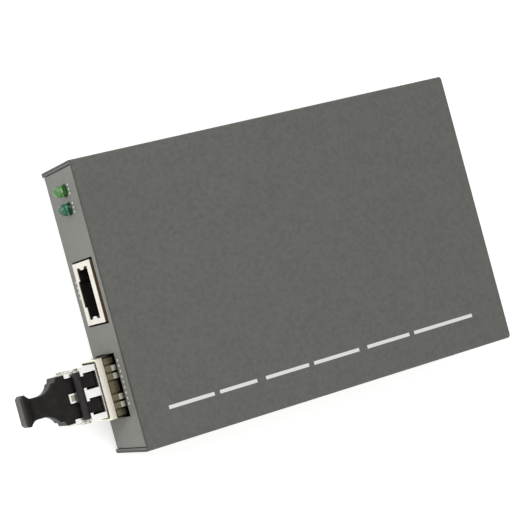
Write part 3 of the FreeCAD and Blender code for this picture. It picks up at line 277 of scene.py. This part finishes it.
def small_part_tree():
    """Rows of small parts: a grid of points, some left empty, with a part set on each."""
    tree = bpy.data.node_groups.new("small_part_rows", "GeometryNodeTree")
    tree.interface.new_socket("Geometry", in_out="OUTPUT", socket_type="NodeSocketGeometry")
    for kind, name, usual in (
            ("Float", "Length X", 0.04), ("Float", "Length Y", 0.006),
            ("Float", "Part Length", 0.0016), ("Float", "Part Height", 0.0006),
            ("Float", "Share Kept", 0.7), ("Int", "Columns", 11), ("Int", "Rows", 3)):
        tree.interface.new_socket(
            name, in_out="INPUT", socket_type="NodeSocket" + kind).default_value = usual
    rows = Graph(tree)

    def given(name):
        return rows.node("NodeGroupInput", output=name)

    def block(length, offset, metal):
        size = rows.node("ShaderNodeCombineXYZ", values=(
            length, given("Part Length") * 0.5, given("Part Height")))
        cube = rows.node("GeometryNodeMeshCube", values={"Size": size})
        shift = rows.node("ShaderNodeCombineXYZ", values=(offset,))
        moved = rows.node("GeometryNodeTransform", values={
            "Geometry": cube, "Translation": shift})
        return rows.node("GeometryNodeSetMaterial", values={
            "Geometry": moved, "Material": metal})

    one_part = rows.node("GeometryNodeJoinGeometry")
    for share, offset_share, finish in (
            (0.6, 0.0, part_body), (0.2, 0.4, part_end), (0.2, -0.4, part_end)):
        piece = block(given("Part Length") * share, given("Part Length") * offset_share,
                      finish.material)
        tree.links.new(piece.socket, one_part.socket.node.inputs[0])
    grid = rows.node("GeometryNodeMeshGrid", values={
        "Size X": given("Length X"), "Size Y": given("Length Y"),
        "Vertices X": given("Columns"), "Vertices Y": given("Rows")})
    kept = rows.node("FunctionNodeRandomValue", {"data_type": "BOOLEAN"},
                     {"Probability": given("Share Kept"), "Seed": 4}, output=3)
    quarter_turns = rows.node("FunctionNodeRandomValue", {"data_type": "INT"},
                              {5: 1, "Seed": 9}, output=2)
    turn = rows.node("ShaderNodeCombineXYZ", values={2: quarter_turns * (math.pi / 2)})
    parts = rows.node("GeometryNodeInstanceOnPoints", values={
        "Points": grid, "Selection": kept, "Instance": one_part, "Rotation": turn})
    solid = rows.node("GeometryNodeRealizeInstances", values=(parts,))
    rows.node("NodeGroupOutput", values=(solid,))
    return tree


def placed(name, data):
    """Object for some data, linked to the scene."""
    made = bpy.data.objects.new(name, data)
    bpy.context.scene.collection.objects.link(made)
    return made


def plain_from(tree, name, inputs, place):
    """Plain mesh that a node tree makes, with its place in its mesh."""
    maker = placed(name + "_maker", bpy.data.meshes.new(name + "_maker"))
    modifier = maker.modifiers.new("maker", "NODES")
    modifier.node_group = tree
    for item in tree.interface.items_tree:
        if item.in_out == "INPUT" and item.name in inputs:
            modifier[item.identifier] = inputs[item.name]
    maker.update_tag()
    seen = maker.evaluated_get(bpy.context.evaluated_depsgraph_get())
    mesh = bpy.data.meshes.new_from_object(seen)
    bpy.data.objects.remove(maker)
    mesh.name = name
    mesh.transform(Matrix.Translation(Vector(place) * MM))
    return placed(name, mesh)


part_rows = small_part_tree()
part_level = corners_mm("circuit_board")[1][2] + 0.3
for row_name, inputs, spot in (
        ("small_parts_middle", {"Length X": 36 * MM, "Length Y": 6 * MM, "Columns": 12},
         (4.0, 14.0)),
        ("small_parts_side", {"Length X": 7 * MM, "Length Y": 22 * MM, "Columns": 3, "Rows": 7},
         (21.0, 34.0))):
    rows = plain_from(part_rows, row_name, inputs, (*spot, part_level))
    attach(rows, "chassis")


# ---------------------------------------------------------------- parts on the board
# Moulded chips with tinned legs, a black anodised heat sink, a drawn crystal can, sleeved
# capacitors with bare tops, a ferrite coil and a regulator with a metal tab.
MOULDING_BLACK = (0.018, 0.018, 0.02)
TINNED = (0.68, 0.68, 0.66)
SLACK = 0.05
# How far the legs or the tab reach out of each moulding, along X and Y.
METAL_REACH = {"converter_chip": (1.0, 1.0), "socket_transformer": (0.0, 1.0),
               "voltage_regulator": (0.0, 2.6)}


def moulded_package(name, reach_x, reach_y):
    """Dark moulded body, with tinned metal wherever the surface lies outside it."""
    low, high = corners_mm(name)
    package = Finish(name + "_moulding", MOULDING_BLACK, 0.55)
    package.tint(package.grain(0.25, detail=3.0), (0.03, 0.03, 0.03))
    legs = 1 - (package.place("X").between(low[0] + reach_x - SLACK, high[0] - reach_x + SLACK)
                * package.place("Y").between(low[1] + reach_y - SLACK, high[1] - reach_y + SLACK))
    package.tint(legs, TINNED)
    package.feed("Metallic", legs)
    package.feed("Roughness", 0.55 - legs * 0.25)
    package.relief(package.grain(0.12, detail=3.0), 0.01)
    package.on(name)


for package_name, reach in METAL_REACH.items():
    moulded_package(package_name, *reach)

anodised = Finish("black_anodised", (0.02, 0.02, 0.021), 0.42, metallic=0.6)
anodised.relief(anodised.grain(0.2, stretch=(1.0, 20.0, 20.0)), 0.02)
anodised.on("heat_sink")
plated("drawn_can", (0.72, 0.72, 0.70), 0.28, stretch=(8.0, 1.0, 1.0)).on("clock_crystal")

CAN_LOW, CAN_HIGH = corners_mm("filter_capacitors")
STRIPE_WIDTH = 0.9
sleeve = Finish("capacitor_sleeve", (0.015, 0.02, 0.06), 0.35)
bare = sleeve.place("Z") > CAN_HIGH[2] - SLACK
stripe = sleeve.place("X") < CAN_LOW[0] + STRIPE_WIDTH
sleeve.tint(stripe * (1 - bare), (0.55, 0.56, 0.58))
sleeve.tint(bare, (0.66, 0.66, 0.65))
sleeve.feed("Metallic", bare)
sleeve.relief(sleeve.grain(1.2, stretch=(1.0, 1.0, 6.0)), 0.03)
sleeve.on("filter_capacitors")

ferrite = Finish("ferrite", (0.03, 0.03, 0.034), 0.6)
ferrite.tint(ferrite.grain(0.4, detail=4.0), (0.06, 0.06, 0.064))
ferrite.relief(ferrite.grain(0.15, detail=4.0), 0.03)
ferrite.on("power_coil")


# ---------------------------------------------------------------- copper network socket
# Bright nickel-plated can, pressed from sheet, round a black moulding with gold-plated sprung
# contacts.  Behind its front face the can is painted a dull dark brown, as painted shade inside
# the panel's opening.
NICKEL = (0.76, 0.73, 0.655)
NICKEL_WORN = (0.68, 0.645, 0.57)
BEHIND_FACE_SHADE = (0.15, 0.107, 0.06)
FACE_THICK = 0.12

nickel = plated("bright_nickel", NICKEL, 0.3, grain=0.5, stretch=(6.0, 1.0, 1.0))
nickel.tint(nickel.grain(2.5).ramp(0.45, 0.8), NICKEL_WORN)
# Painted shade: behind its front face the can is dark brown and mostly not metallic.
behind = nickel.place("Y") > SOCKET_CORNER[1] + FACE_THICK
nickel.tint(behind, BEHIND_FACE_SHADE)
nickel.feed("Metallic", 1 - behind * 0.7)
nickel.on("copper_socket_shield")

black_moulding = Finish("black_moulding", (0.006, 0.0055, 0.005), 0.5, Specular_IOR_Level=0.2)
black_moulding.tint(black_moulding.grain(0.8), (0.011, 0.01, 0.009))
black_moulding.relief(black_moulding.grain(0.15, detail=3.0), 0.01)
black_moulding.on("copper_socket_insert")

gold_plate = plated("gold_plate", (0.80, 0.56, 0.20), 0.25, stretch=(1.0, 6.0, 1.0))
gold_plate.on("copper_socket_contacts")


# ---------------------------------------------------------------- power inlet
# Round low-voltage inlet at the back of the board: a black moulding, a centre pin with a
# gold flash, and a zinc-plated leaf spring that presses on the plug's barrel.
black_moulding.on("power_inlet_body")
gold_plate.on("power_inlet_pin")
zinc_plate.on("power_inlet_spring")


# ---------------------------------------------------------------- indicator lamps
# Round-nosed lamps cast in clear tinted resin, on zinc-plated leads in a black holder.  Inside
# each, a bright reflector cup stands on one lead frame post and a finer post stands beside it.
zinc_plate.on("lamp_leads")
black_moulding.on("lamp_holder")


def lamp_resin(name, colour, deep, glint):
    """Clear resin, deeper in colour towards the panel, with pale painted glints and a few flow
    marks.
    """
    resin = Finish(name, colour, 0.04, IOR=1.45, Transmission_Weight=0.82)
    resin.tint(resin.place("Y").ramp(PANEL_Y - 2.4, PANEL_Y - 0.2), deep)
    # Painted highlights: pale glints laid in patches over the resin's colour.
    resin.tint(resin.grain(1.0, detail=1.0).ramp(0.52, 0.66) * 0.75, glint)
    resin.relief(resin.grain(1.5, detail=0.0), 0.14)
    return resin


lamp_resin("green_resin", colour=(0.30, 0.72, 0.25), deep=(0.08, 0.38, 0.06),
           glint=(0.72, 0.95, 0.62)).on("link_lamp")
lamp_resin("teal_resin", colour=(0.16, 0.50, 0.33), deep=(0.035, 0.24, 0.14),
           glint=(0.60, 0.88, 0.78)).on("fibre_lamp")

# Rows of place along Y, from the panel, and radius.
CUP_PROFILE = ((0.9, 0.3), (-0.35, 0.32), (-0.8, 0.62), (-1.0, 0.66), (-1.0, 0.58), (-0.7, 0.28))
POST_PROFILE = ((0.9, 0.22), (-0.6, 0.22), (-0.75, 0.34), (-0.95, 0.30))
CUP_ASIDE, POST_ASIDE = -0.35, 0.75
CUP_SIDES, POST_SIDES = 24, 16


def turned_piece(name, middle, profile, sides, metal):
    """Piece turned about a line along Y that passes through a place."""
    mesh = bpy.data.meshes.new(name)
    shape = bmesh.new()
    rings = []
    for along, radius in profile:
        rings.append([shape.verts.new(Vector((
            middle[0] + radius * math.cos(side * math.tau / sides), middle[1] + along,
            middle[2] + radius * math.sin(side * math.tau / sides))) * MM)
            for side in range(sides)])
    for ring, after in zip(rings, rings[1:]):
        for side in range(sides):
            other = (side + 1) % sides
            shape.faces.new((ring[side], ring[other], after[other], after[side]))
    shape.faces.new(rings[0])
    shape.faces.new(rings[-1])
    bmesh.ops.recalc_face_normals(shape, faces=shape.faces)
    shape.to_mesh(mesh)
    shape.free()
    mesh.materials.append(metal)
    return placed(name, mesh)


lead_frame = plated("lead_frame", (0.80, 0.80, 0.78), 0.25).material
for lamp, lamp_x in zip(("link", "fibre"), LAMP_X):
    for kind, aside, profile, sides in (("_cup", CUP_ASIDE, CUP_PROFILE, CUP_SIDES),
                                        ("_post", POST_ASIDE, POST_PROFILE, POST_SIDES)):
        piece = turned_piece(lamp + kind, (lamp_x + aside, PANEL_Y, LAMP_Z), profile, sides,
                             lead_frame)
        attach(piece, "chassis")


# ---------------------------------------------------------------- module cage and its collar
# The cage is plated sheet round a black edge connector, with painted shade on its plate by the
# panel: olive, and dark at the panel itself.  Its collar is spring stock with a bright band and
# thin fingers, painted olive on their slopes as painted shade, with painted highlights on their
# crowns and painted shade at their feet.
black_moulding.on("module_connector")

cage_plate = plated("cage_plate", (0.55, 0.52, 0.44), 0.34, stretch=(1.0, 8.0, 1.0))
cage_plate.tint(cage_plate.grain(4.0).ramp(0.4, 0.8), (0.35, 0.32, 0.25))
cage_y = cage_plate.place("Y")
# Painted shade: the plate is painted olive near the panel, between the collar's fingers.
cage_plate.tint(1 - cage_y.ramp(PANEL_Y + 0.5, PANEL_Y + 3.0), (0.20, 0.175, 0.11))
# Painted shadow: the plate is painted nearly black where it passes the panel.
cage_plate.tint(cage_y.between(PANEL_Y - 1.0, PANEL_Y + 2.0), (0.04, 0.035, 0.022))
cage_plate.on("module_cage")

COLLAR_LOW, COLLAR_HIGH = corners_mm("cage_spring_collar")
MODULE_X = (COLLAR_LOW[0] + COLLAR_HIGH[0]) / 2
BAND_END = COLLAR_LOW[1] + 1.9
FINGERS_START = -0.22
OLIVE_SLOPE_SHADE = (0.155, 0.137, 0.088)
CROWN_HIGHLIGHT = (1.0, 0.96, 0.84)
FOOT_SHADE = (0.03, 0.026, 0.018)

collar = plated("spring_plate", (1.0, 0.94, 0.82), 0.3, grain=0.4, stretch=(1.0, 5.0, 1.0))
inward = collar.place("Y") - BAND_END
aside = (collar.place("X") - MODULE_X).maths("ABSOLUTE")
narrow_finger = aside.between(1.7, 5.5)
on_fingers = inward > FINGERS_START
collar.tint(inward.ramp(-0.3, -0.05) * 0.7, (0.42, 0.35, 0.26))
# Painted shade: the fingers' slopes are painted olive.
collar.tint(on_fingers, OLIVE_SLOPE_SHADE)
collar.tint(collar.grain(0.8).ramp(0.5, 0.8) * on_fingers, (0.20, 0.175, 0.11))
# Along a finger from the band: its crown, painted as a highlight, and its foot, in painted shade,
# which comes sooner on the wide ones.
crown_highlight = inward.ramp(1.25, 1.6) * (1 - inward.ramp(2.7, 3.0)) * narrow_finger
foot_shade = inward.ramp(2.9, 3.2).either(inward.ramp(2.2, 2.6) * (1 - narrow_finger))
# Painted highlight on the crowns of the narrow fingers, and painted shade at the feet.
collar.tint(crown_highlight * (collar.grain(0.5) * 0.6 + 0.5), CROWN_HIGHLIGHT)
collar.tint(foot_shade, FOOT_SHADE)
collar.on("cage_spring_collar")


# ---------------------------------------------------------------- optical module
# Zinc casting with a bright satin plate, painted brown in a patch between the ports, under a
# folded cover.
# Its board and two optical barrels lie inside; only the casting's nose stands out of the cage.
NOSE_FRONT, NOSE_TOP = corners_mm("module_housing")[0][1], corners_mm("module_housing")[1][2]
SATIN_PLATE = (0.98, 0.975, 0.945)
PATCH_HALF_WIDTH, PATCH_DEPTH = 0.75, 2.5
PATCH_START, PATCH_END = NOSE_FRONT + 0.4, NOSE_FRONT + 1.75

casting = Finish("bright_casting", SATIN_PLATE, 0.26, metallic=1.0)
casting.tint(casting.grain(1.6).ramp(0.5, 0.85), (0.90, 0.88, 0.83))
casting.feed("Roughness", casting.grain(0.5) * 0.16 + 0.2)
casting.relief(casting.grain(0.7), 0.006)
brown_patch = ((casting.place("X") - MODULE_X).maths("ABSOLUTE") < PATCH_HALF_WIDTH) * (
    casting.place("Y").between(PATCH_START, PATCH_END)
    * (casting.place("Z") > NOSE_TOP - PATCH_DEPTH))
casting.tint(brown_patch * (casting.grain(0.6) * 0.5 + 0.6), (0.30, 0.25, 0.17))
casting.on("module_housing")

plated("module_cover", (0.70, 0.69, 0.65), 0.3, stretch=(1.0, 8.0, 1.0)).on("module_shell")
module_mask = Finish("module_mask", (0.01, 0.06, 0.03), 0.35)
module_mask.tint(module_mask.grain(1.2, stretch=(0.4, 3.0, 1.0)) > 0.55, (0.02, 0.11, 0.05))
module_mask.on("module_board")
plated("turned_metal", (0.66, 0.66, 0.64), 0.3, stretch=(1.0, 0.2, 1.0)).on(
    "transmit_barrel", "receive_barrel")


# ---------------------------------------------------------------- release bail and latch
# Stamped stainless bail, stained in patches, with a black sleeve moulded on its crossbar, and
# the clean steel rocker under the nose that it moves to free the module.
stainless = plated("stainless", (0.74, 0.72, 0.68), 0.22, stretch=(1.0, 1.0, 6.0))
stainless.tint(stainless.grain(1.3, detail=3.0).ramp(0.5, 0.62), (0.34, 0.31, 0.26))
stainless.on("release_bail")
plated("rocker_steel", (0.68, 0.67, 0.64), 0.3, stretch=(1.0, 6.0, 1.0)).on("latch_rocker")

bail_sleeve = Finish("bail_sleeve_black", (0.014, 0.012, 0.012), 0.42, Specular_IOR_Level=0.35)
bail_sleeve.tint(bail_sleeve.grain(0.6, stretch=(5.0, 1.0, 1.0)).ramp(0.45, 0.8),
                 (0.045, 0.04, 0.038))
bail_sleeve.relief(bail_sleeve.grain(0.5, stretch=(4.0, 1.0, 1.0)), 0.03)
bail_sleeve.on("bail_sleeve")


# ---------------------------------------------------------------- dust plug
# Soft black rubber, moulded in one piece, satin all over and patchy in tone, with a painted sheen
# of paler grey at the end of its grip, where it faces the light.
PLUG_END = corners_mm("dust_plug")[0][1]
RUBBER_BLACK = (0.0048, 0.0034, 0.003)
GRIP_END_SHEEN = (0.066, 0.059, 0.048)

rubber = Finish("black_rubber", RUBBER_BLACK, 0.4, Specular_IOR_Level=0.22)
rubber.tint(rubber.grain(1.8).ramp(0.45, 0.75) * 0.7, (0.019, 0.0145, 0.013))
# Painted highlight: the end of the grip is painted paler, as if catching the light.
lit_grip_end = 1 - rubber.place("Y").ramp(PLUG_END + 0.1, PLUG_END + 0.9)
rubber.tint(lit_grip_end * (rubber.grain(0.9) * 0.5 + 0.55), GRIP_END_SHEEN)
rubber.feed("Roughness", rubber.grain(1.4) * 0.2 + 0.34)
rubber.relief(rubber.grain(0.3, detail=3.0), 0.015, edge=0.7)
rubber.on("dust_plug")


# ---------------------------------------------------------------- top cover
# Folded steel cover in a darker coat than the tray.  Its cut edges are darker still, but paler
# inside its walls, and a plain row of pale bars is printed along one side.
COVER_LOW, COVER_HIGH = corners_mm("top_cover")
COVER_GREY = (0.1315, 0.1300, 0.1195)
EDGE_DARK, EDGE_PALE = (0.065, 0.065, 0.06), (0.15, 0.15, 0.138)
BAR_X = COVER_HIGH[0] - 8.75
BAR_HALF_WIDTH = 0.45
BARS = ((-46.0, -33.5), (-32.0, -21.5), (-19.0, -6.5), (-5.0, 8.5), (11.0, 24.0), (25.5, 44.0))

cover_coat = powder_coat("cover_coat", COVER_GREY, cloud_shade=0.95, speckle=0.6)
cover_x, cover_y, cover_z = (cover_coat.place(axis) for axis in "XYZ")
cut_edge = (cover_y < COVER_LOW[1] + SLACK).either(cover_y > COVER_HIGH[1] - SLACK)
cover_coat.tint(cut_edge, EDGE_DARK)
inner_edge = cut_edge * (cover_x.maths("ABSOLUTE") < COVER_HIGH[0] - 0.5)
cover_coat.tint(inner_edge * (cover_z < COVER_HIGH[2] - 1.0), EDGE_PALE)
bars = cover_y.between(*BARS[0])
for start, end in BARS[1:]:
    bars = bars.either(cover_y.between(start, end))
cover_coat.tint(bars * cover_x.between(BAR_X - BAR_HALF_WIDTH, BAR_X + BAR_HALF_WIDTH)
                * (cover_z > COVER_HIGH[2] - SLACK), INK)
cover_coat.on("top_cover")


# ---------------------------------------------------------------- cover screws
# Countersunk screws in blackened steel, two through each side of the cover, with a little of
# the black worn off.
blackened = Finish("blackened_steel", (0.03, 0.03, 0.031), 0.4, metallic=0.7)
blackened.tint(blackened.grain(0.4).ramp(0.5, 0.9), (0.08, 0.08, 0.08))
blackened.relief(blackened.grain(0.2), 0.01)
blackened.on("cover_screws")


# ---------------------------------------------------------------- studio
# A pale floor under the case, an even pale surround, broad soft lamps, and a camera that looks
# down on the cover from in front, turned so that the case lies across the view.
def seen_by(graph, *rays):
    """1 for the kinds of ray named, and 0 for the others."""
    seen = graph.node("ShaderNodeLightPath", output=rays[0])
    for ray in rays[1:]:
        seen = seen.either(graph.node("ShaderNodeLightPath", output=ray))
    return seen


world = bpy.data.worlds.new("studio_air")
bpy.context.scene.world = world
world.use_nodes = True
world.node_tree.nodes.clear()
air = Graph(world.node_tree)
even_light = air.node("ShaderNodeBackground", values={
    "Color": (1.0, 0.995, 0.985, 1.0), "Strength": 0.55})
surround = air.node("ShaderNodeBackground", values={
    "Color": (0.8, 0.8, 0.8, 1.0), "Strength": 1.0})
mask = seen_by(air, "Is Camera Ray", "Is Glossy Ray", "Is Transmission Ray")
air.node("ShaderNodeOutputWorld", values=(
    air.node("ShaderNodeMixShader", values=(mask, even_light, surround)),))

FLOOR_HALF = 1.5
FLOOR_Z = cad_box[0][2] - 0.05 * MM
BLACK, WHITE = (0.0, 0.0, 0.0, 1.0), (1.0, 1.0, 1.0, 1.0)
floor_mesh = bpy.data.meshes.new("studio_floor")
floor_mesh.from_pydata([(x * FLOOR_HALF, y * FLOOR_HALF, FLOOR_Z)
                        for x, y in ((-1, -1), (1, -1), (1, 1), (-1, 1))], [], [(0, 1, 2, 3)])
floor = placed("studio_floor", floor_mesh)
paper = Finish("studio_paper", (0.92, 0.92, 0.92), 0.95, Specular_IOR_Level=0.0,
               Emission_Strength=0.5)
paper.feed("Emission Color", paper.mix(
    seen_by(paper, "Is Camera Ray", "Is Glossy Ray"), BLACK, WHITE))
floor_mesh.materials.append(paper.material)

for lamp_name, lamp_spot, lamp_width, lamp_power in (
        ("key_lamp", (-0.26, -0.32, 0.4), 0.35, 1.15),
        ("fill_lamp", (0.5, 0.2, 0.7), 0.6, 1.6)):
    light = bpy.data.lights.new(lamp_name, "AREA")
    light.shape = "SQUARE"
    light.size = lamp_width
    light.energy = lamp_power
    soft_lamp = placed(lamp_name, light)
    soft_lamp.location = lamp_spot
    soft_lamp.rotation_euler = (-Vector(lamp_spot)).to_track_quat("-Z", "Y").to_euler()

VIEW_RIGHT = Vector((0.26024, 0.86180, 0.43540))
VIEW_UP = Vector((-0.96553, 0.23469, 0.11258))
VIEW_FROM = Vector((-0.2, -198.07, 404.32)) * MM
camera_data = bpy.data.cameras.new("studio_camera")
camera_data.sensor_width = 36.0
camera_data.lens = 115.22717
camera_data.shift_x, camera_data.shift_y = -0.0378, 0.0027
camera = placed("studio_camera", camera_data)
turn = Matrix((VIEW_RIGHT, VIEW_UP, VIEW_RIGHT.cross(VIEW_UP))).transposed()
camera.matrix_world = Matrix.Translation(VIEW_FROM) @ turn.to_4x4()
bpy.context.scene.camera = camera
bpy.context.scene.view_settings.view_transform = "Standard"
